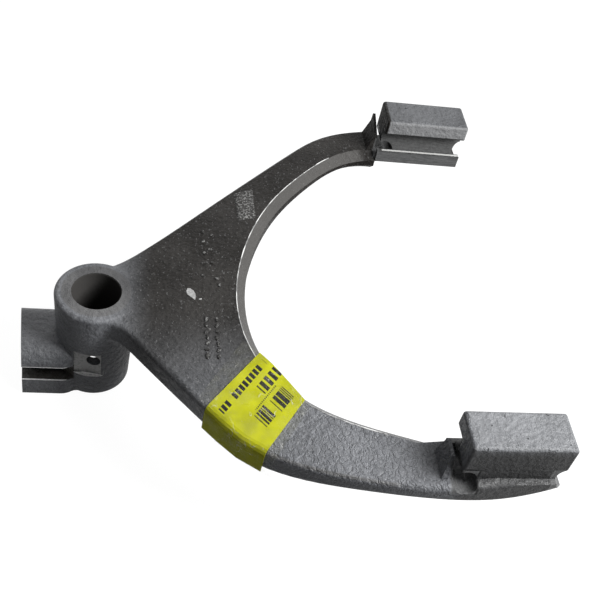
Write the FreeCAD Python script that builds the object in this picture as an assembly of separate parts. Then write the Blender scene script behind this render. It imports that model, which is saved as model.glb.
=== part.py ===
import FreeCAD, Part
import math
import os

# A drop forged shift fork: a hub clamped on a sliding rail, a selector lug, a cranked two armed
# web and a grooved pad on each arm. Millimetres, +Z along the rail, +X from the rail to the pads,
# origin on the rail axis at the machined top face of the hub.

V = FreeCAD.Vector

# Rail bore and hub
bore_radius = 10.0
bore_chamfer = 0.3
hub_top_radius = 17.2
hub_bottom_radius = 15.1
hub_height = 50.0
hub_edge_round = 1.8

# Lock screw hole on its milled flat, in the side of the hub that faces -Y
flat_distance = 14.0
flat_turn = 10.0
flat_top = -22.0
flat_bottom = -36.5
flat_half_width = 5.9
lock_hole_radius = 2.9
lock_hole_z = -27.8

# Selector lug behind the hub, with the finger slot milled in from the -Y side
lug_far_x = -31.8
lug_near_x = -29.4
lug_half_width = 15.0
lug_shoulder_x = -13.5
lug_shoulder_run = 3.9
lug_shoulder_step = 1.0
lug_neck_x = -7.0
lug_neck_half_width = 11.5
lug_top = -23.3
lug_top_round = 9.0
slot_top = -32.8
slot_height = 8.0
slot_depth = 12.0

# Cranked web: both faces rise from the hub towards the pads
web_top_at_rail = -2.2
web_rise = 0.15
web_keel = [(0.0, -16.4), (15.0, -13.8), (70.0, -4.3), (128.0, 5.9), (150.0, 6.6), (161.0, 9.4),
            (169.2, 13.2)]
arm_edge_round = 2.2
inner_bevel = 4.0
inner_edge_least = 200.0
outer_edge_least = 100.0
root_round = 4.0
valley_round = 3.0

# Pads: a lower jaw and an upper jaw with the groove between them
arm_tip_x = 128.2
pad_start_x = 129.6
pad_end_x = 169.2
pad_inner_y = 83.1
pad_outer_y = 100.2
pad_root_y = 102.4
pad_top = 36.6
groove_top = 29.3
groove_bottom = 19.1
groove_depth_top = 7.4
groove_depth_bottom = 2.2
lower_jaw_bottom = 13.0
underside_slope_y = 98.0
underside_slope_z = 5.0
pad_top_round = 1.6
pad_corner_round = 1.0
jaw_overlap = 2.0
lower_jaw_inset = 4.0
groove_lead = 0.5
tool_overrun = 10.0
underside_foot_z = -20.0

# Round reliefs milled across the arm at both ends of each pad, and the ear left beside the first
relief_radius = 4.2
relief_x = 131.8
relief_z = 18.3
end_relief_radius = 4.9
end_relief_x = 170.6
end_relief_z = 20.2
ear_foot_x = 123.6
ear_crest_x = 126.1
ear_end_x = 127.4
ear_inner_y = 87.0
ear_inner_z = 24.6
ear_root_y = 101.4
ear_crest_far = (99.4, 29.0)
ear_crest_near = (95.0, 25.0)
ear_start_y = 80.0
ear_foot_z = 5.0
ear_root_z = 12.0
ear_shoulder_z = 30.0
ear_end_z = 40.0
ear_lean = 1.3

# Plan outlines of the web: the far side, the near side and the inside of the fork
far_side = [(1.0, 15.6), (8.8, 18.6), (18.0, 25.2), (46.6, 50.8), (76.0, 77.4), (88.5, 88.4),
            (99.5, 96.6), (111.6, 101.2), (128.2, 102.5), (150.0, 102.2), (pad_end_x, pad_root_y)]
near_side = [(1.0, -15.6), (9.0, -18.2), (16.0, -26.0), (37.2, -54.6), (46.4, -66.6), (53.9, -75.6),
             (63.4, -83.4), (74.6, -89.5), (98.1, -97.9), (128.2, -103.7), (150.0, -103.3),
             (pad_end_x, -pad_root_y)]
inside = [(arm_tip_x, pad_inner_y), (108.4, 79.2), (96.0, 69.6), (79.4, 51.0), (66.2, 24.0),
          (60.8, -6.0), (62.6, -25.0), (69.6, -43.5), (82.0, -58.8), (102.8, -71.9),
          (arm_tip_x, -pad_inner_y)]

# Paper label and clear tape: both lie flat on the web and bend down over the near arm's edge.
# Each is given by its start on the inner side and by where its two long edges point.
label_thickness = 0.3
tape_thickness = 0.25
wall_clearance = 0.4
bend_steps = 4
tail_lift = 1.6
label_starts = [(64.2, -36.2), (68.7, -42.3), (73.9, -51.0), (79.4, -60.6)]
label_runs = [(-0.653, -0.757), (-0.585, -0.812)]
tape_starts = [(58.2, -29.6), (66.4, -39.0), (72.0, -48.0), (77.6, -57.0), (81.4, -63.6)]
tape_runs = [(-0.56, -0.83), (-0.55, -0.835)]


def curve(points, lift=0.0):
    spline = Part.BSplineCurve()
    spline.interpolate([V(x, y, lift) for x, y in points])
    return spline.toShape()


def line(start, end, lift=0.0):
    return Part.makeLine(V(start[0], start[1], lift), V(end[0], end[1], lift))


def prism(edges, height):
    wire = Part.Wire(Part.__sortEdges__(edges))
    return Part.Face(wire).extrude(V(0, 0, height))


def block(x0, x1, y0, y1, z0, z1):
    return Part.makeBox(x1 - x0, y1 - y0, z1 - z0, V(x0, y0, z0))


def across(points, x0, x1):
    corners = [V(x0, y, z) for y, z in points]
    return Part.Face(Part.makePolygon(corners + corners[:1])).extrude(V(x1 - x0, 0, 0))


def along(points, y0, y1):
    corners = [V(x, y0, z) for x, z in points]
    return Part.Face(Part.makePolygon(corners + corners[:1])).extrude(V(0, y1 - y0, 0))


def crossbar(radius, x, z, y0, y1):
    return Part.makeCylinder(radius, y1 - y0, V(x, y0, z), V(0, 1, 0))


def mirrored(shape):
    return shape.mirror(V(0, 0, 0), V(0, 1, 0))


def web_top(x):
    return web_top_at_rail + web_rise * x


# Web and arms: the plan outline cut to the side view of the crank
reach = 120.0
floor_z = -60.0
plan_edges = [
    curve(far_side, floor_z),
    line(far_side[-1], (pad_end_x, pad_inner_y), floor_z),
    line((pad_end_x, pad_inner_y), inside[0], floor_z),
    curve(inside, floor_z),
    line(inside[-1], (pad_end_x, -pad_inner_y), floor_z),
    line((pad_end_x, -pad_inner_y), near_side[-1], floor_z),
    curve(near_side, floor_z),
    line(near_side[0], far_side[0], floor_z),
]
web_plan = prism(plan_edges, reach)

jaw_flat_x = (groove_bottom - web_top_at_rail) / web_rise
keel = Part.BSplineCurve()
keel.interpolate([V(x, -reach, z) for x, z in web_keel])
keel_start = V(web_keel[0][0], -reach, web_keel[0][1])
keel_end = V(web_keel[-1][0], -reach, web_keel[-1][1])
crank_corners = [keel_end, V(pad_end_x, -reach, groove_bottom), V(jaw_flat_x, -reach, groove_bottom),
                 V(0, -reach, web_top(0)), keel_start]
crank_wire = Part.Wire([keel.toShape(), Part.makePolygon(crank_corners)])
crank = Part.Face(crank_wire).extrude(V(0, 2 * reach, 0))
web = web_plan.common(crank).Solids[0]

inner_edges = [e for e in web.Edges if e.Length > inner_edge_least]
web = web.makeChamfer(inner_bevel, inner_edges)
outer_edges = [e for e in web.Edges if abs(e.CenterOfMass.y) > 50 and e.Length > outer_edge_least]
web = web.makeFillet(arm_edge_round, outer_edges)

# Hub and lug
hub = Part.makeCone(hub_bottom_radius, hub_top_radius, hub_height, V(0, 0, -hub_height))
hub = hub.makeFillet(hub_edge_round, [e for e in hub.Edges if abs(e.Length) > 90])
far_neck = (lug_neck_x, lug_neck_half_width)
far_turn = (lug_shoulder_x + lug_shoulder_run, lug_half_width - lug_shoulder_step)
far_shoulder = (lug_shoulder_x, lug_half_width)
near_neck, near_turn, near_shoulder = [(x, -y) for x, y in (far_neck, far_turn, far_shoulder)]
far_corner = (lug_far_x, lug_half_width)
near_corner = (lug_near_x, -lug_half_width)
lug_edges = [
    line((0, -lug_neck_half_width), (0, lug_neck_half_width), -hub_height),
    line((0, lug_neck_half_width), far_neck, -hub_height),
    curve([far_neck, far_turn, far_shoulder], -hub_height),
    line(far_shoulder, far_corner, -hub_height),
    line(far_corner, near_corner, -hub_height),
    line(near_corner, near_shoulder, -hub_height),
    curve([near_shoulder, near_turn, near_neck], -hub_height),
    line(near_neck, (0, -lug_neck_half_width), -hub_height),
]
lug = prism(lug_edges, hub_height + lug_top)
dome = block(lug_far_x - 5, 5, -lug_half_width, lug_half_width, -hub_height, lug_top)
dome = dome.makeFillet(lug_top_round, [e for e in dome.Edges
                                       if e.CenterOfMass.z > lug_top - 0.1 and abs(e.CenterOfMass.y) > 5])
lug = lug.common(dome)
finger_slot = block(lug_far_x - 5, 0, -lug_half_width - 5, slot_depth - lug_half_width,
                    slot_top - slot_height, slot_top)
lug = lug.cut(finger_slot)
barrel = hub.fuse(lug).removeSplitter()
valley_edges = [e for e in barrel.Edges if -9 < e.CenterOfMass.x < -7.8 and abs(e.CenterOfMass.y) > 12
                and e.Length > 5]
barrel = barrel.makeFillet(valley_round, valley_edges)
body = web.fuse(barrel).removeSplitter()
root_edges = [e for e in body.Edges if 10 < e.CenterOfMass.x < 15 and -17 < e.CenterOfMass.z < -12
              and abs(e.CenterOfMass.y) > 2]
body = body.makeFillet(root_round, root_edges)

# Pads, ears and reliefs, built on the +Y arm and mirrored to the other one
jaw_foot_z = groove_bottom - jaw_overlap
jaw = block(pad_start_x, pad_end_x, pad_inner_y, pad_outer_y, jaw_foot_z, pad_top)
upright_edges = [e for e in jaw.Edges if abs(e.Length - (pad_top - jaw_foot_z)) < 0.01]
jaw = jaw.makeFillet(pad_corner_round, upright_edges)
jaw = jaw.makeFillet(pad_top_round, [e for e in jaw.Edges if e.CenterOfMass.z > pad_top - 0.1])
lower_jaw = block(arm_tip_x, pad_end_x, pad_inner_y, pad_outer_y - lower_jaw_inset,
                  lower_jaw_bottom, groove_bottom)
ledge_y = pad_inner_y + groove_depth_bottom
wall_y = pad_inner_y + groove_depth_top
open_y = pad_inner_y - tool_overrun
past_end_x = pad_end_x + tool_overrun
groove_side = [(open_y, groove_top), (wall_y, groove_top), (ledge_y, groove_bottom), (open_y, groove_bottom)]
groove = across(groove_side, arm_tip_x - groove_lead, past_end_x)
slope_side = [(open_y, lower_jaw_bottom), (pad_inner_y, lower_jaw_bottom),
              (underside_slope_y, underside_slope_z), (underside_slope_y, underside_foot_z),
              (open_y, underside_foot_z)]
underside = across(slope_side, arm_tip_x, past_end_x)
relief = crossbar(relief_radius, relief_x, relief_z, ledge_y, reach)
end_relief = crossbar(end_relief_radius, end_relief_x, end_relief_z, ledge_y, reach)
gap = block(ear_end_x, pad_start_x, ledge_y, reach, relief_z, pad_top + tool_overrun)
ear_outline = [(ear_foot_x, ear_foot_z), (ear_end_x, ear_foot_z), (ear_end_x, ear_end_z),
               (ear_crest_x + ear_lean, ear_end_z), (ear_crest_x, ear_shoulder_z),
               (ear_crest_x, ear_inner_z), (ear_foot_x, web_top(ear_foot_x))]
ear_side = along(ear_outline, ear_start_y, reach)


def ear_for(crest):
    corners = [(ear_inner_y, ear_root_z), (ear_root_y, ear_root_z), crest, (ear_inner_y, ear_inner_z)]
    return ear_side.common(across(corners, ear_foot_x - tool_overrun, ear_end_x + tool_overrun))


pads_and_ears = [jaw, lower_jaw, ear_for(ear_crest_far)]
pads_and_ears += [mirrored(jaw), mirrored(lower_jaw), mirrored(ear_for(ear_crest_near))]
body = body.fuse(pads_and_ears)
cuts = [groove, underside, relief, end_relief, gap]
body = body.cut(cuts + [mirrored(tool) for tool in cuts]).removeSplitter()
body = body.Solids[0]

# Machining in the hub: rail bore, milled flat and lock screw hole
bore = Part.makeCylinder(bore_radius, hub_height, V(0, 0, -hub_height))
top_chamfer = Part.makeCone(bore_radius, bore_radius + bore_chamfer, bore_chamfer, V(0, 0, -bore_chamfer))
bottom_chamfer = Part.makeCone(bore_radius + bore_chamfer, bore_radius, bore_chamfer, V(0, 0, -hub_height))
flat = block(-flat_half_width, flat_half_width, -hub_top_radius - 3, -flat_distance, flat_bottom, flat_top)
flat.rotate(V(0, 0, 0), V(0, 0, 1), -flat_turn)
lock_hole = Part.makeCylinder(lock_hole_radius, hub_top_radius + 4, V(0, 0, lock_hole_z), V(0, -1, 0))
fork = body.cut([bore, top_chamfer, bottom_chamfer, flat, lock_hole])

# Label and tape: a ruled sheet through cross sections, each flat on top and bent down the wall
near_edge = curve(near_side, floor_z)


def section(start, run, inner, outer, clearance):
    far_end = (start[0] + 90 * run[0], start[1] + 90 * run[1])
    meeting = near_edge.distToShape(line(start, far_end, floor_z))[1][0][0]
    length = math.hypot(meeting.x - start[0], meeting.y - start[1])
    bend = arm_edge_round
    keel_rise = (web_keel[3][1] - web_keel[0][1]) / web_keel[3][0]
    wall_foot = web_keel[0][1] + keel_rise * meeting.x + tail_lift

    def side(lift):
        points = [(0.0, lift)]
        for step in range(bend_steps + 1):
            angle = math.radians(90.0 * step / bend_steps)
            reach_out = length - bend + (bend + lift + clearance) * math.sin(angle)
            points.append((reach_out, (bend + lift + clearance) * math.cos(angle) - bend))
        return points

    def place(distance, drop):
        x = start[0] + distance * run[0]
        y = start[1] + distance * run[1]
        return V(x, y, web_top(x) + drop)

    outside = side(outer)
    inside_face = side(inner)
    path = [place(*p) for p in outside]
    outer_foot = place(*outside[-1])
    inner_foot = place(*inside_face[-1])
    path.append(V(outer_foot.x, outer_foot.y, wall_foot))
    path.append(V(inner_foot.x, inner_foot.y, wall_foot))
    path += [place(*p) for p in reversed(inside_face)]
    return Part.makePolygon(path + path[:1])


def sheet(starts, runs, inner, outer, clearance):
    last = len(starts) - 1
    sections = []
    for index, start in enumerate(starts):
        share = index / last
        run = [runs[0][k] * (1 - share) + runs[1][k] * share for k in (0, 1)]
        sections.append(section(start, run, inner, outer, clearance))
    return Part.makeLoft(sections, True, True)


yellow_label = sheet(label_starts, label_runs, 0.0, label_thickness, wall_clearance)
clear_tape = sheet(tape_starts, tape_runs, label_thickness, label_thickness + tape_thickness,
                   2 * wall_clearance)

os.makedirs("parts", exist_ok=True)
for name, shape in (("fork", fork), ("yellow_label", yellow_label), ("clear_tape", clear_tape)):
    shape.exportStep("parts/" + name + ".step")
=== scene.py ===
import math
import random
import bmesh
import bpy
from mathutils import Matrix, Vector, noise


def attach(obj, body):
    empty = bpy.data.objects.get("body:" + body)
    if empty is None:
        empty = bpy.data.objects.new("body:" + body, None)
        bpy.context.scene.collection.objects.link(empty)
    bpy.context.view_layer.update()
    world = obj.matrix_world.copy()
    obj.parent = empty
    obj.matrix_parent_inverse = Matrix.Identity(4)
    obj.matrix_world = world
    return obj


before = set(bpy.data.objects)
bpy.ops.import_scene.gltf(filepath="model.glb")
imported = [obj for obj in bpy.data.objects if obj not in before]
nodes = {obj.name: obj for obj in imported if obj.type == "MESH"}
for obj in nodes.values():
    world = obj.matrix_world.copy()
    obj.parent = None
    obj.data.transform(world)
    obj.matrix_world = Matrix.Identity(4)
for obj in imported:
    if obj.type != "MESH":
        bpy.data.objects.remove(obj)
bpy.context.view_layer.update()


# The forging: hub, lug, web, arms and pads in one piece of steel.
# Its skin is dark grey scale from the hammer, with a fine grain and a few pale flecks.
# The ring on the hub, the bore, the flat, the slot and the pads' faces are machined bright.
mm = 0.001


def put(tree, kind, **settings):
    node = tree.nodes.new(kind)
    for name, value in settings.items():
        setattr(node, name, value)
    return node


def feed(tree, socket, value):
    if isinstance(value, bpy.types.NodeSocket):
        tree.links.new(value, socket)
    else:
        socket.default_value = value


def sums(tree, operation, first, second=0.0, clamp=False):
    node = put(tree, "ShaderNodeMath", operation=operation, use_clamp=clamp)
    feed(tree, node.inputs[0], first)
    feed(tree, node.inputs[1], second)
    return node.outputs[0]


def times(tree, first, second):
    return sums(tree, "MULTIPLY", first, second)


def vectors(tree, operation, first, second=None):
    node = put(tree, "ShaderNodeVectorMath", operation=operation)
    feed(tree, node.inputs[0], first)
    if second is not None:
        feed(tree, node.inputs[1], second)
    return node.outputs["Value"] if operation in ("DOT_PRODUCT", "LENGTH") else node.outputs["Vector"]


def clouds(tree, place, size, detail, rough):
    node = put(tree, "ShaderNodeTexNoise")
    feed(tree, node.inputs["Vector"], place)
    node.inputs["Scale"].default_value = 1.0 / size
    node.inputs["Detail"].default_value = detail
    node.inputs["Roughness"].default_value = rough
    return node.outputs["Fac"]


def fade(tree, value, low, high, bottom=0.0, top=1.0):
    node = put(tree, "ShaderNodeMapRange", interpolation_type="SMOOTHSTEP")
    feed(tree, node.inputs["Value"], value)
    node.inputs["From Min"].default_value = low
    node.inputs["From Max"].default_value = high
    node.inputs["To Min"].default_value = bottom
    node.inputs["To Max"].default_value = top
    return node.outputs["Result"]


def tint(tree, mask, under, over):
    node = put(tree, "ShaderNodeMix", data_type="RGBA", blend_type="MIX")
    feed(tree, node.inputs["Factor"], mask)
    feed(tree, node.inputs["A"], under)
    feed(tree, node.inputs["B"], over)
    return node.outputs["Result"]


def emboss(tree, shader, height, strength, depth):
    node = put(tree, "ShaderNodeBump")
    node.inputs["Strength"].default_value = strength
    node.inputs["Distance"].default_value = depth
    feed(tree, node.inputs["Height"], height)
    feed(tree, shader.inputs["Normal"], node.outputs["Normal"])


def millimetres(tree):
    place = put(tree, "ShaderNodeTexCoord").outputs["Object"]
    scale = put(tree, "ShaderNodeVectorMath", operation="SCALE")
    feed(tree, scale.inputs[0], place)
    scale.inputs["Scale"].default_value = 1.0 / mm
    return scale.outputs["Vector"]


# One soft edged box of the surface, as a mask
zone_group = bpy.data.node_groups.new("zone", "ShaderNodeTree")
for name, kind in (("Place", "NodeSocketVector"), ("Centre", "NodeSocketVector"),
                   ("Half Size", "NodeSocketVector"), ("Blur", "NodeSocketFloat")):
    zone_group.interface.new_socket(name, in_out="INPUT", socket_type=kind)
zone_group.interface.new_socket("Mask", in_out="OUTPUT", socket_type="NodeSocketFloat")
zone_in = put(zone_group, "NodeGroupInput")
zone_out = put(zone_group, "NodeGroupOutput")
offset = vectors(zone_group, "SUBTRACT", zone_in.outputs["Place"], zone_in.outputs["Centre"])
depth = vectors(zone_group, "SUBTRACT", zone_in.outputs["Half Size"], vectors(zone_group, "ABSOLUTE", offset))
split = put(zone_group, "ShaderNodeSeparateXYZ")
feed(zone_group, split.inputs[0], depth)
sides = []
for axis in split.outputs:
    ratio = sums(zone_group, "DIVIDE", axis, zone_in.outputs["Blur"])
    sides.append(sums(zone_group, "ADD", ratio, 0.5, clamp=True))
both = times(zone_group, sides[0], sides[1])
feed(zone_group, zone_out.inputs["Mask"], times(zone_group, both, sides[2]))


def zone(tree, place, centre, half, blur):
    node = put(tree, "ShaderNodeGroup", node_tree=zone_group)
    feed(tree, node.inputs["Place"], place)
    node.inputs["Centre"].default_value = centre
    node.inputs["Half Size"].default_value = half
    node.inputs["Blur"].default_value = blur
    return node.outputs["Mask"]


def any_of(tree, *masks):
    total = masks[0]
    for mask in masks[1:]:
        total = sums(tree, "MAXIMUM", total, mask)
    return total


def new_finish(name):
    finish = bpy.data.materials.new(name)
    finish.use_nodes = True
    return finish, finish.node_tree, finish.node_tree.nodes["Principled BSDF"]


def cover(name, finish):
    slots = nodes[name].data.materials
    slots.clear()
    slots.append(finish)


# Colours of the skin; the browner pair is darkened with painted shade
shaded_brown_dark = (0.012, 0.011, 0.010, 1)
shaded_brown_light = (0.036, 0.034, 0.032, 1)
blue_dark = (0.066, 0.069, 0.075, 1)
blue_light = (0.160, 0.165, 0.176, 1)
fleck_grey = (0.30, 0.30, 0.305, 1)
crack_dark = (0.030, 0.031, 0.034, 1)
lit_bevel_grey = (0.115, 0.112, 0.108, 1)
arm_side_shade = (0.024, 0.023, 0.021, 1)
lug_grey = (0.22, 0.225, 0.235, 1)

# Colours of the cut faces
cut_dark = (0.065, 0.066, 0.067, 1)
cut_light = (0.120, 0.121, 0.122, 1)
near_pad_dark = (0.088, 0.091, 0.096, 1)
near_pad_light = (0.158, 0.162, 0.170, 1)
far_pad_shade_dark = (0.070, 0.072, 0.076, 1)
far_pad_shade_light = (0.125, 0.128, 0.134, 1)
far_front_grey = (0.19, 0.192, 0.196, 1)
pit_black = (0.020, 0.020, 0.022, 1)
groove_shade = (0.035, 0.035, 0.034, 1)
ring_dark = (0.060, 0.060, 0.062, 1)
ring_light = (0.115, 0.115, 0.116, 1)
bore_grey = (0.055, 0.053, 0.051, 1)
flat_bright = (0.20, 0.20, 0.198, 1)
slot_shadow_black = (0.016, 0.015, 0.013, 1)
lip_highlight = (0.75, 0.75, 0.75, 1)
ledge_highlight = (0.55, 0.55, 0.54, 1)

# Sizes and places of the cut faces, in millimetres
bore_radius = 10.0
ring_radius = 14.0
flat_turn = math.radians(10)
flat_reach = 14.0
lug_middle = -21.0
lug_face = -14.95
upper_lip = -32.7
lower_lip = -40.8
lip_blur = 0.15
pad_middle = 150.0
pad_top_middle = 150.2
groove_middle = 87.0
groove_height = 24.2
groove_half = (21.0, 4.6, 5.4)
relief_x = 131.5
relief_y = 93.0
relief_half = (4.6, 12.0, 5.0)
relief_blur = 0.8
pad_blur = 0.5

# How strongly each mark shows
patch_share = 0.55
grain_share = 0.45
fleck_share = 0.28
crack_share = 0.06
lit_bevel_share = 0.55
pit_share = 0.8
arm_side_shade_share = 0.75
near_front_share = 0.55
groove_share = 0.5
lug_share = 0.25
bare_metal = 0.2

steel, tree, shader = new_finish("forged_steel")
place = millimetres(tree)
parts = put(tree, "ShaderNodeSeparateXYZ")
feed(tree, parts.inputs[0], place)
place_x, place_y, place_z = parts.outputs
radius = vectors(tree, "LENGTH", vectors(tree, "MULTIPLY", place, (1.0, 1.0, 0.0)))

# Scale skin: patches, grain, flecks and pits
patches = clouds(tree, place, size=30.0, detail=3.0, rough=0.55)
grain = clouds(tree, place, size=1.3, detail=5.0, rough=0.62)
fine = clouds(tree, place, size=0.45, detail=3.0, rough=0.6)
long_in_y = (1.0, 0.6, 1.0)
stretched = vectors(tree, "MULTIPLY", place, long_in_y)
flecks = fade(tree, clouds(tree, stretched, size=0.85, detail=2.0, rough=0.6), 0.61, 0.70)
pits = times(tree, fade(tree, clouds(tree, place, size=2.6, detail=2.0, rough=0.5), 0.66, 0.72),
             fade(tree, clouds(tree, place, size=11.0, detail=1.0, rough=0.5), 0.42, 0.55))
blend = sums(tree, "ADD", times(tree, patches, patch_share), times(tree, grain, grain_share))
tone = fade(tree, blend, 0.35, 0.65)
brown_in_shade = tint(tree, tone, shaded_brown_dark, shaded_brown_light)
blue = tint(tree, tone, blue_dark, blue_light)
# The web and the far arm: a browner scale, and much darker from painted shade, away from the lamps
brown_shaded_side = times(tree, fade(tree, place_y, -80.0, -8.0), fade(tree, place_x, 4.0, 24.0))
skin = tint(tree, brown_shaded_side, blue, brown_in_shade)
skin = tint(tree, times(tree, flecks, fleck_share), skin, fleck_grey)

# The near arm's top: a leathery crackle left by the die
warp = put(tree, "ShaderNodeTexNoise")
feed(tree, warp.inputs["Vector"], place)
warp.inputs["Scale"].default_value = 0.35
bent = vectors(tree, "ADD", place, vectors(tree, "MULTIPLY", warp.outputs["Color"], (4.0, 4.0, 4.0)))
cracks = put(tree, "ShaderNodeTexVoronoi", feature="DISTANCE_TO_EDGE")
feed(tree, cracks.inputs["Vector"], vectors(tree, "MULTIPLY", bent, long_in_y))
cracks.inputs["Scale"].default_value = 0.42
crackle = fade(tree, cracks.outputs["Distance"], 0.0, 0.16)
arm_zone = times(tree, fade(tree, place_y, -55.0, -72.0), fade(tree, place_x, 131.0, 125.0))
crack_lines = times(tree, sums(tree, "SUBTRACT", 1.0, crackle), arm_zone)
skin = tint(tree, times(tree, crack_lines, crack_share), skin, crack_dark)

# The bevel along the inside of the arms is painted a little lighter where its sloped faces meet the light: a
# painted highlight
facing = put(tree, "ShaderNodeSeparateXYZ")
feed(tree, facing.inputs[0], put(tree, "ShaderNodeTexCoord").outputs["Normal"])
facing_up = facing.outputs["Z"]
lit_bevel_face = times(tree, fade(tree, facing_up, 0.93, 0.85), fade(tree, facing_up, 0.45, 0.55))
lit_bevel_face = times(tree, lit_bevel_face, fade(tree, place_x, 54.0, 58.0))
lit_bevel_face = times(tree, lit_bevel_face, fade(tree, radius, 150.0, 146.0))
skin = tint(tree, times(tree, lit_bevel_face, lit_bevel_share), skin, lit_bevel_grey)

# Machined places on the hub and the lug
ring = times(tree, fade(tree, place_z, -0.5, -0.1), fade(tree, radius, ring_radius + 0.5, ring_radius))
bore = fade(tree, radius, bore_radius + 0.35, bore_radius + 0.1)
flat_way = (-math.sin(flat_turn), -math.cos(flat_turn), 0.0)
flat_depth = vectors(tree, "DOT_PRODUCT", place, flat_way)
flat = times(tree, zone(tree, place, centre=(-2.4, -14.0, -29.2), half=(7.0, 3.2, 7.6), blur=0.3),
             fade(tree, flat_depth, flat_reach + 0.12, flat_reach + 0.04))
flat = times(tree, flat, fade(tree, flat_depth, flat_reach - 0.1, flat_reach - 0.03))
# The slot's lips are machined and carry a painted highlight along their edges
lit_slot_lips = any_of(tree,
                   zone(tree, place, (lug_middle, lug_face, upper_lip), (12.0, 0.45, 0.32), lip_blur),
                   zone(tree, place, (lug_middle, lug_face, lower_lip), (12.0, 0.40, 0.24), lip_blur),
                   zone(tree, place, centre=(-2.4, -14.6, -36.45), half=(6.4, 1.2, 0.22), blur=lip_blur))
# The inside of the slot, where its painted shadow goes
shadowed_slot_inside = zone(tree, place, centre=(-22.0, -8.5, -36.9), half=(14.0, 6.0, 4.15), blur=0.2)
lug_side = fade(tree, place_x, -12.0, -18.0)

# Machined places on the pads
far_groove = zone(tree, place, (pad_middle, groove_middle, groove_height), groove_half, pad_blur)
far_jaw = zone(tree, place, centre=(pad_middle, 84.5, 16.0), half=(21.0, 2.4, 3.6), blur=pad_blur)
near_groove = zone(tree, place, (pad_middle, -groove_middle, groove_height), groove_half, pad_blur)
reliefs = any_of(tree,
                 zone(tree, place, (relief_x, relief_y, 19.0), relief_half, relief_blur),
                 zone(tree, place, (relief_x, -relief_y, 19.0), relief_half, relief_blur),
                 zone(tree, place, centre=(168.0, -95.0, 19.5), half=(4.0, 12.0, 5.2), blur=relief_blur))
pad_tops = zone(tree, place, centre=(pad_top_middle, 0.0, 36.4), half=(19.4, 101.0, 0.9), blur=0.6)
far_front = zone(tree, place, centre=(pad_top_middle, 83.1, 33.2), half=(19.6, 0.6, 3.6), blur=pad_blur)
near_front = zone(tree, place, centre=(pad_top_middle, -100.2, 33.0), half=(19.4, 0.8, 4.0), blur=pad_blur)
near_front = times(tree, near_front, fade(tree, place_z, 32.0, 36.2))
# A painted highlight along the far jaw's ledge
lit_ledge = zone(tree, place, centre=(pad_middle, 84.3, 19.1), half=(19.5, 0.55, 0.5), blur=0.25)
bright = any_of(tree, flat, lit_slot_lips, far_groove, far_jaw, near_groove, reliefs)

# Colour, laid on from the skin up to the brightest lips
scratches = clouds(tree, vectors(tree, "MULTIPLY", place, (0.25, 4.0, 4.0)), size=0.9, detail=3.0, rough=0.6)
cut_steel = tint(tree, fade(tree, scratches, 0.35, 0.65), cut_dark, cut_light)
ground = tint(tree, tone, near_pad_dark, near_pad_light)
# The far pad's ground is a darker copy of the near pad's: painted shade
shaded_far_ground = tint(tree, tone, far_pad_shade_dark, far_pad_shade_light)
ground = tint(tree, fade(tree, place_y, -20.0, 20.0), ground, shaded_far_ground)
ground = tint(tree, times(tree, pits, pit_share), ground, pit_black)
# Painted shade on the outer wall of the near arm and pad, turned away from the lamp
shaded_arm_side = times(tree, fade(tree, place_y, -98.5, -99.8), fade(tree, place_x, 126.0, 132.0))
colour = tint(tree, times(tree, shaded_arm_side, arm_side_shade_share), skin, arm_side_shade)
colour = tint(tree, any_of(tree, pad_tops, times(tree, near_front, near_front_share)), colour, ground)
colour = tint(tree, far_front, colour, far_front_grey)
colour = tint(tree, bright, colour, cut_steel)
colour = tint(tree, times(tree, far_groove, groove_share), colour, groove_shade)
ring_tone = tint(tree, fade(tree, patches, 0.35, 0.65), ring_dark, ring_light)
colour = tint(tree, ring, colour, ring_tone)
colour = tint(tree, bore, colour, bore_grey)
colour = tint(tree, flat, colour, flat_bright)
colour = tint(tree, times(tree, lug_side, lug_share), colour, lug_grey)
# Painted shadow deep inside the lug's slot
colour = tint(tree, shadowed_slot_inside, colour, slot_shadow_black)
# Painted highlight on the slot's lips
colour = tint(tree, lit_slot_lips, colour, lip_highlight)
colour = tint(tree, lit_ledge, colour, ledge_highlight)
feed(tree, shader.inputs["Base Color"], colour)
feed(tree, shader.inputs["Metallic"], times(tree, bright, bare_metal))

# Sheen: dull on the browner, shaded far side, on faces turned away from the top and in the bore
sheen = fade(tree, brown_shaded_side, 0.0, 1.0, bottom=0.34, top=0.09)
sheen = times(tree, sheen, fade(tree, facing_up, 0.2, 0.85, bottom=0.30, top=1.0))
sheen = times(tree, sheen, sums(tree, "SUBTRACT", 1.0, bore))
feed(tree, shader.inputs["Specular IOR Level"], sheen)
skin_rough = fade(tree, grain, 0.3, 0.7, bottom=0.34, top=0.55)
feed(tree, shader.inputs["Roughness"], sums(tree, "SUBTRACT", skin_rough, times(tree, bright, 0.15)))

# Relief: grain and lumps on the skin, turning marks on the ring, little on the cut faces
lumps = clouds(tree, place, size=2.4, detail=2.0, rough=0.5)
height = sums(tree, "ADD", grain, times(tree, fine, 0.45))
height = sums(tree, "ADD", height, times(tree, flecks, 0.25))
height = sums(tree, "ADD", height, times(tree, lumps, 2.2))
height = sums(tree, "ADD", height, times(tree, times(tree, crackle, arm_zone), 0.45))
height = sums(tree, "SUBTRACT", height, times(tree, times(tree, pits, pad_tops), 1.2))
rough_share = sums(tree, "SUBTRACT", 1.0, times(tree, any_of(tree, bright, bore), 0.9))
turning = put(tree, "ShaderNodeMath", operation="SINE")
feed(tree, turning.inputs[0], times(tree, radius, 9.0))
height = sums(tree, "ADD", times(tree, height, rough_share),
              times(tree, times(tree, turning.outputs[0], ring), 0.05))
emboss(tree, shader, height, strength=0.8, depth=0.5 * mm)
cover("fork", steel)


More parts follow.
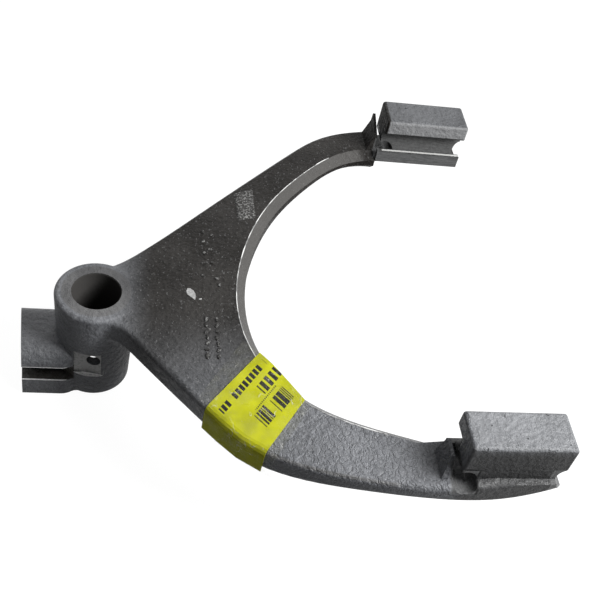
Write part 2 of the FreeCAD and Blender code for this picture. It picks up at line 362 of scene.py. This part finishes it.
# The paper label: matt yellow paper, stuck to the web and bent down over the near arm's edge.
# Its print is plain black bars and blocks that say nothing.
yellow_dark = (0.36, 0.37, 0.006, 1)
yellow_light = (0.48, 0.49, 0.010, 1)
fibre_pale = (0.55, 0.56, 0.05, 1)
ink = (0.012, 0.012, 0.012, 1)
label_corner = (64.9, -37.6, 0.0)
label_along = (-0.829, -0.6255, 0.0)
label_across = (0.821, -0.634, 0.0)
bar_width = 0.42
ink_blur = 0.1

paper, tree, shader = new_finish("label_paper")
place = millimetres(tree)
from_corner = vectors(tree, "SUBTRACT", place, label_corner)
along = vectors(tree, "DOT_PRODUCT", from_corner, label_along)
across = vectors(tree, "DOT_PRODUCT", from_corner, label_across)
label_place = put(tree, "ShaderNodeCombineXYZ")
feed(tree, label_place.inputs["X"], along)
feed(tree, label_place.inputs["Y"], across)
spot = label_place.outputs["Vector"]


def cells(tree, along, width, seed, share):
    step = sums(tree, "FLOOR", sums(tree, "DIVIDE", along, width))
    chance = put(tree, "ShaderNodeTexWhiteNoise", noise_dimensions="1D")
    feed(tree, chance.inputs["W"], sums(tree, "ADD", step, seed))
    return sums(tree, "LESS_THAN", chance.outputs["Value"], share)


def blocks(tree, along, pitch, share):
    phase = sums(tree, "FRACT", sums(tree, "DIVIDE", along, pitch))
    return sums(tree, "LESS_THAN", phase, share)


first_bars = times(tree, zone(tree, spot, centre=(8.8, 18.8, 0.0), half=(4.2, 3.4, 5.0), blur=ink_blur),
                   cells(tree, along, bar_width, seed=3.0, share=0.5))
last_bars = times(tree, zone(tree, spot, centre=(19.2, 17.9, 0.0), half=(3.1, 3.5, 5.0), blur=ink_blur),
                  cells(tree, along, bar_width, seed=7.0, share=0.55))
broken_blocks = times(tree, blocks(tree, along, pitch=2.3, share=0.68),
                      cells(tree, along, width=2.3, seed=5.0, share=0.85))
long_row = times(tree, zone(tree, spot, centre=(16.0, 2.8, 0.0), half=(14.6, 1.6, 5.0), blur=ink_blur),
                 broken_blocks)
big_row = times(tree, zone(tree, spot, centre=(6.3, 9.6, 0.0), half=(5.9, 2.5, 5.0), blur=ink_blur),
                blocks(tree, along, pitch=2.9, share=0.62))
small_row = times(tree, zone(tree, spot, centre=(13.0, 13.3, 0.0), half=(7.0, 0.35, 5.0), blur=ink_blur),
                  blocks(tree, along, pitch=0.9, share=0.5))
print_mask = any_of(tree, first_bars, last_bars, long_row, big_row, small_row)
fibre = clouds(tree, place, size=0.5, detail=4.0, rough=0.6)
shade = clouds(tree, place, size=9.0, detail=2.0, rough=0.5)
yellow = tint(tree, fade(tree, shade, 0.3, 0.7), yellow_dark, yellow_light)
yellow = tint(tree, times(tree, fade(tree, fibre, 0.5, 0.75), 0.2), yellow, fibre_pale)
feed(tree, shader.inputs["Base Color"], tint(tree, print_mask, yellow, ink))
feed(tree, shader.inputs["Roughness"], fade(tree, fibre, 0.3, 0.7, bottom=0.55, top=0.7))
shader.inputs["Specular IOR Level"].default_value = 0.12
emboss(tree, shader, fibre, strength=0.2, depth=0.05 * mm)
cover("yellow_label", paper)


# The clear tape: a strip of glossy film, wider than the label, that holds it to the web.
# It is almost clear, with a slight yellow cast, faint creases, a soft haze and thin painted highlights in
# streaks.
film_dark = (0.12, 0.12, 0.06, 1)
film_light = (0.26, 0.26, 0.16, 1)
glint_white = (0.75, 0.74, 0.70, 1)
glint_haze = 0.3

film, tree, shader = new_finish("tape_film")
place = millimetres(tree)
creases = clouds(tree, vectors(tree, "MULTIPLY", place, (0.35, 1.2, 1.0)), size=3.0, detail=2.0, rough=0.5)
haze = clouds(tree, place, size=6.0, detail=3.0, rough=0.55)
haze = fade(tree, haze, 0.35, 0.7, bottom=0.015, top=0.07)
drawn = clouds(tree, vectors(tree, "MULTIPLY", place, (1.0, 0.45, 1.0)), size=5.0, detail=2.0, rough=0.5)
ridge = sums(tree, "ABSOLUTE", sums(tree, "SUBTRACT", drawn, 0.5))
# Thin streaks of painted gloss highlight: paler colour and less clear film
glint_streaks = times(tree, fade(tree, ridge, 0.010, 0.002),
                fade(tree, clouds(tree, place, size=7.0, detail=1.0, rough=0.5), 0.48, 0.60))
haze = sums(tree, "MAXIMUM", haze, times(tree, glint_streaks, glint_haze))
film_tone = tint(tree, fade(tree, creases, 0.4, 0.6), film_dark, film_light)
feed(tree, shader.inputs["Base Color"], tint(tree, glint_streaks, film_tone, glint_white))
feed(tree, shader.inputs["Roughness"], fade(tree, creases, 0.3, 0.7, bottom=0.08, top=0.22))
feed(tree, shader.inputs["Alpha"], haze)
emboss(tree, shader, creases, strength=0.35, depth=0.3 * mm)
cover("clear_tape", film)


# The die marks: small pips and dashes left standing on the web where the die was dug out.
# They belong to the forging and are raised about half a millimetre.
web_start = -2.2
web_rise = 0.15
root_depth = 0.2
pip_height = 0.55
dash_height = 0.6
rubbed_dark = (0.026, 0.025, 0.024, 1)
glint_speckle_light = (0.20, 0.20, 0.195, 1)


def web_height(x):
    return web_start + web_rise * x


def build(name, shape, finish):
    mesh = bpy.data.meshes.new(name)
    shape.to_mesh(mesh)
    shape.free()
    mesh.materials.append(finish)
    piece = bpy.data.objects.new(name, mesh)
    bpy.context.collection.objects.link(piece)
    return piece


def raised(name, outline, finish, height, soft):
    shape = bmesh.new()
    base = [shape.verts.new((x, y, web_height(x) - root_depth)) for x, y in outline]
    foot = shape.faces.new(base)
    grown = bmesh.ops.extrude_face_region(shape, geom=[foot])["geom"]
    top = [part for part in grown if isinstance(part, bmesh.types.BMVert)]
    bmesh.ops.translate(shape, verts=top, vec=(0.0, 0.0, height + root_depth))
    rim = [side for side in shape.edges if side.verts[0] in top and side.verts[1] in top]
    bmesh.ops.bevel(shape, geom=rim, offset=soft, offset_type="OFFSET", segments=2, profile=0.5,
                    affect="EDGES", material=-1)
    bmesh.ops.recalc_face_normals(shape, faces=shape.faces)
    bmesh.ops.scale(shape, verts=shape.verts, vec=(mm, mm, mm))
    piece = build(name, shape, finish)
    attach(piece, "root")


def blob(centre, length, width, turn, corners, wobble):
    points = []
    for step in range(corners):
        angle = 2.0 * math.pi * step / corners
        rim_spot = Vector((centre[0] + math.cos(angle), centre[1] + math.sin(angle), 0.7))
        stretch = 1.0 + wobble * noise.noise(rim_spot)
        ahead = length * 0.5 * math.cos(angle) * stretch
        aside = width * 0.5 * math.sin(angle) * stretch
        points.append((centre[0] + ahead * math.cos(turn) - aside * math.sin(turn),
                       centre[1] + ahead * math.sin(turn) + aside * math.cos(turn)))
    return points


# The marks and the patch: dark steel with light speckles, which are painted glints on the raised steel
glinting_steel, tree, shader = new_finish("glinting_speckled_steel")
place = millimetres(tree)
gritty = clouds(tree, place, size=0.9, detail=3.0, rough=0.6)
glint_speckle = fade(tree, gritty, 0.50, 0.62)
feed(tree, shader.inputs["Base Color"], tint(tree, glint_speckle, rubbed_dark, glint_speckle_light))
feed(tree, shader.inputs["Roughness"], fade(tree, glint_speckle, 0.0, 1.0, bottom=0.5, top=0.35))
shader.inputs["Specular IOR Level"].default_value = 0.2
emboss(tree, shader, gritty, strength=0.8, depth=0.4 * mm)

pip_places = [(44.4, 34.4), (44.2, 28.3), (44.4, 21.2), (44.5, 15.3), (43.7, 7.7), (48.2, 32.0),
              (47.2, 23.0), (47.6, 15.1), (49.2, 5.4), (50.4, 1.5)]
chance = random.Random(11)
for count, spot in enumerate(pip_places):
    outline = blob(spot, length=chance.uniform(1.5, 3.0), width=chance.uniform(1.0, 1.5),
                   turn=chance.uniform(-0.5, 2.1), corners=10, wobble=0.5)
    raised("die_mark_%02d" % (count + 1), outline, glinting_steel, pip_height, soft=0.16)
dash_columns = (44.2, 48.4)
dashes_in_column = 7
dash_start = -17.0
dash_pitch = 3.2
column_shift = 0.8
for column, x in enumerate(dash_columns):
    for row in range(dashes_in_column):
        spot = (x + chance.uniform(-0.3, 0.3), dash_start - dash_pitch * row - column_shift * column)
        outline = blob(spot, length=chance.uniform(2.0, 3.2), width=chance.uniform(1.0, 1.5),
                       turn=chance.choice((0.0, 0.9, 1.57)), corners=10, wobble=0.4)
        raised("die_dash_%d_%02d" % (column + 1, row + 1), outline, glinting_steel, dash_height, soft=0.18)


# The rough patch: a slightly raised, lumpy field on the far arm, where the die was mended.
# It is part of the forging.
patch_columns = 20
patch_rows = 44
patch_top_left = Vector((58.7, 59.3))
patch_top_right = Vector((67.7, 62.0))
patch_low_right = Vector((68.1, 42.2))
patch_low_left = Vector((59.8, 40.2))
patch_height = 0.45
lump_swing = 0.42
lump_scale = 0.80
rim_drop = -0.15
rim_slope = 9.0
skirt_drop = -0.3

patch_shape = bmesh.new()
grid = []
for column in range(patch_columns + 1):
    points = []
    for row in range(patch_rows + 1):
        across = column / patch_columns
        down = row / patch_rows
        left_spot = patch_top_left.lerp(patch_low_left, down)
        right_spot = patch_top_right.lerp(patch_low_right, down)
        spot = left_spot.lerp(right_spot, across)
        to_rim = min(across, 1.0 - across, down, 1.0 - down)
        lump_spot = Vector((spot.x * lump_scale, spot.y * lump_scale, 3.0))
        lump = patch_height + lump_swing * noise.noise(lump_spot)
        lift = rim_drop if to_rim == 0.0 else lump * min(1.0, to_rim * rim_slope)
        points.append(patch_shape.verts.new((spot.x, spot.y, web_height(spot.x) + lift)))
    grid.append(points)
for column in range(patch_columns):
    for row in range(patch_rows):
        patch_shape.faces.new((grid[column][row], grid[column + 1][row],
                               grid[column + 1][row + 1], grid[column][row + 1]))
border = [side for side in patch_shape.edges if side.is_boundary]
skirt = bmesh.ops.extrude_edge_only(patch_shape, edges=border)["geom"]
skirt_points = [part for part in skirt if isinstance(part, bmesh.types.BMVert)]
bmesh.ops.translate(patch_shape, verts=skirt_points, vec=(0.0, 0.0, skirt_drop))
bmesh.ops.contextual_create(patch_shape, geom=[side for side in patch_shape.edges if side.is_boundary])
bmesh.ops.recalc_face_normals(patch_shape, faces=patch_shape.faces)
for face in patch_shape.faces:
    face.smooth = True
bmesh.ops.scale(patch_shape, verts=patch_shape.verts, vec=(mm, mm, mm))
patch = build("rough_patch", patch_shape, glinting_steel)
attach(patch, "root")


# The edge highlight: the thin bright line where the web's top meets the inner bevel.
# It is a painted highlight along the edge, on bare steel with patchy wear.
flat_slope = 0.97
bevel_slopes = (0.4, 0.93)
throat_middle = 0.135
throat_reach = 0.088
line_end = 0.106
line_radius = 0.22 * mm
line_swing = 0.6
wear_scale = 300.0
line_sides = 6
worn_dark = (0.20, 0.20, 0.20, 1)
edge_highlight_bright = (0.65, 0.65, 0.64, 1)

fork_mesh = nodes["fork"].data
slopes_beside = {}
for face in fork_mesh.polygons:
    corners = [tuple(round(value, 7) for value in fork_mesh.vertices[index].co) for index in face.vertices]
    for first, second in zip(corners, corners[1:] + corners[:1]):
        slopes_beside.setdefault(frozenset((first, second)), []).append(face.normal.z)
crest = {}
for ends, slopes in slopes_beside.items():
    if len(ends) != 2 or len(slopes) != 2:
        continue
    if max(slopes) > flat_slope and bevel_slopes[0] < min(slopes) < bevel_slopes[1]:
        first, second = ends
        middle = (Vector(first) + Vector(second)) / 2
        from_throat = Vector((middle.x - throat_middle, middle.y)).length
        if middle.x < line_end and from_throat < throat_reach:
            crest.setdefault(first, []).append(second)
            crest.setdefault(second, []).append(first)
edge_shape = bmesh.new()
rings = {}
for spot, others in crest.items():
    centre = Vector(spot)
    way = Vector(others[-1]) - (Vector(others[0]) if len(others) > 1 else centre)
    way.normalize()
    if way.y < 0:
        way = -way
    aside = way.cross(Vector((0.0, 0.0, 1.0))).normalized()
    lift = aside.cross(way)
    width = line_radius * (1.0 + line_swing * noise.noise(centre * wear_scale))
    rings[spot] = []
    for step in range(line_sides):
        angle = 2.0 * math.pi * step / line_sides
        out = aside * width * math.cos(angle) + lift * width * math.sin(angle)
        rings[spot].append(edge_shape.verts.new(centre + out))
for spot, others in crest.items():
    for other in others:
        if spot < other:
            for step in range(line_sides):
                after = (step + 1) % line_sides
                edge_shape.faces.new((rings[spot][step], rings[spot][after],
                                      rings[other][after], rings[other][step]))
    if len(others) == 1:
        edge_shape.faces.new(rings[spot])
bmesh.ops.recalc_face_normals(edge_shape, faces=edge_shape.faces)
# The line's colour: a painted highlight, patchy with wear
edge_highlight_finish, tree, shader = new_finish("edge_highlight_steel")
place = millimetres(tree)
wear = fade(tree, clouds(tree, place, size=6.0, detail=3.0, rough=0.6), 0.40, 0.60)
feed(tree, shader.inputs["Base Color"], tint(tree, wear, worn_dark, edge_highlight_bright))
feed(tree, shader.inputs["Roughness"], fade(tree, wear, 0.0, 1.0, bottom=0.45, top=0.28))
feed(tree, shader.inputs["Metallic"], fade(tree, wear, 0.0, 1.0, bottom=0.3, top=0.9))
edge_piece = build("highlight_edge_line", edge_shape, edge_highlight_finish)
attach(edge_piece, "root")


# The chips: two flat light flakes on the web, where the scale has come off the steel.
# They are bare and dull, a shade lighter than the skin round them.
flake_dark = (0.30, 0.30, 0.30, 1)
flake_light = (0.46, 0.46, 0.455, 1)
flake_height = 0.12

bare, tree, shader = new_finish("bare_flake")
place = millimetres(tree)
mottle = fade(tree, clouds(tree, place, size=1.1, detail=4.0, rough=0.6), 0.35, 0.65)
feed(tree, shader.inputs["Base Color"], tint(tree, mottle, flake_dark, flake_light))
feed(tree, shader.inputs["Roughness"], fade(tree, mottle, 0.0, 1.0, bottom=0.6, top=0.8))
shader.inputs["Specular IOR Level"].default_value = 0.3
teardrop = [(36.9, 0.9), (38.2, 0.7), (39.4, -0.6), (40.1, -2.4), (40.2, -4.4), (39.9, -6.0),
            (39.1, -5.0), (38.0, -3.9), (36.9, -2.6), (36.5, -0.8)]
raised("large_flake", teardrop, bare, flake_height, soft=0.06)
crumb = blob((42.2, -5.6), length=1.3, width=0.9, turn=0.4, corners=9, wobble=0.5)
raised("small_flake", crumb, bare, flake_height, soft=0.05)


# The floor: a plain white sheet just under the hub.
# It shows as the white ground of the picture and keeps the fork's soft shadow.
floor_half = 3.0
floor_place = (0.07, 0.0, -0.0505)
floor_glow = 0.965
sheet_dark = (0.11, 0.11, 0.11, 1)
sheet_light = (0.12, 0.12, 0.12, 1)


def seen_directly(tree):
    path = put(tree, "ShaderNodeLightPath")
    return any_of(tree, path.outputs["Is Camera Ray"], path.outputs["Is Glossy Ray"],
                  path.outputs["Is Transmission Ray"])


sheet, tree, shader = new_finish("floor_sheet")
metres = put(tree, "ShaderNodeTexCoord").outputs["Object"]
tooth = clouds(tree, metres, size=0.02, detail=2.0, rough=0.5)
feed(tree, shader.inputs["Base Color"], tint(tree, tooth, sheet_dark, sheet_light))
shader.inputs["Roughness"].default_value = 0.9
shader.inputs["Specular IOR Level"].default_value = 0.0
glow = put(tree, "ShaderNodeEmission")
glow.inputs["Color"].default_value = (1, 1, 1, 1)
feed(tree, glow.inputs["Strength"], times(tree, seen_directly(tree), floor_glow))
lit_sheet = put(tree, "ShaderNodeAddShader")
feed(tree, lit_sheet.inputs[0], shader.outputs["BSDF"])
feed(tree, lit_sheet.inputs[1], glow.outputs["Emission"])
feed(tree, tree.nodes["Material Output"].inputs["Surface"], lit_sheet.outputs["Shader"])
floor_shape = bmesh.new()
bmesh.ops.create_grid(floor_shape, x_segments=8, y_segments=8, size=floor_half)
bmesh.ops.translate(floor_shape, verts=floor_shape.verts, vec=floor_place)
floor = build("floor", floor_shape, sheet)


# The light: a white room, one soft lamp close by on the right and a weaker one behind.
# The near lamp makes the near arm and its pad brighter than the far ones.
room_light = 0.12
white_ground = 1.0

world = bpy.data.worlds.new("room")
bpy.context.scene.world = world
world.use_nodes = True
tree = world.node_tree
backdrop = tree.nodes["Background"]
backdrop.inputs["Color"].default_value = (1, 1, 1, 1)
feed(tree, backdrop.inputs["Strength"],
     fade(tree, seen_directly(tree), 0.0, 1.0, bottom=room_light, top=white_ground))


def lamp(name, spot, aim, size, power):
    light = bpy.data.lights.new(name, "AREA")
    light.size = size
    light.energy = power
    holder = bpy.data.objects.new(name, light)
    bpy.context.collection.objects.link(holder)
    holder.location = spot
    holder.rotation_euler = (Vector(aim) - Vector(spot)).to_track_quat("-Z", "Y").to_euler()


lamp("key_lamp", (0.36, -0.15, 0.32), aim=(0.08, 0.0, 0.0), size=0.22, power=4.2)
lamp("back_lamp", (0.0, 0.60, 0.55), aim=(0.07, 0.0, 0.0), size=0.6, power=1.6)


# The camera: one long lens, above and in front of the near arm.
# Its place and turn were solved from the round bore and the square pads.
camera_data = bpy.data.cameras.new("camera")
camera_data.lens = 58.90
camera_data.sensor_width = 36.0
camera_data.sensor_fit = "HORIZONTAL"
camera_data.clip_start = 0.01
camera = bpy.data.objects.new("camera", camera_data)
bpy.context.collection.objects.link(camera)
right = Vector((0.979717, -0.097995, 0.174790))
up = Vector((-0.047839, 0.732664, 0.678907))
back = Vector((-0.194592, -0.673499, 0.713116))
turn = Matrix((right, up, back)).transposed().to_4x4()
camera_spot = Vector((3.6054, -282.5597, 299.7146)) * mm
camera.matrix_world = Matrix.Translation(camera_spot) @ turn
bpy.context.scene.camera = camera
bpy.context.scene.view_settings.view_transform = "Standard"
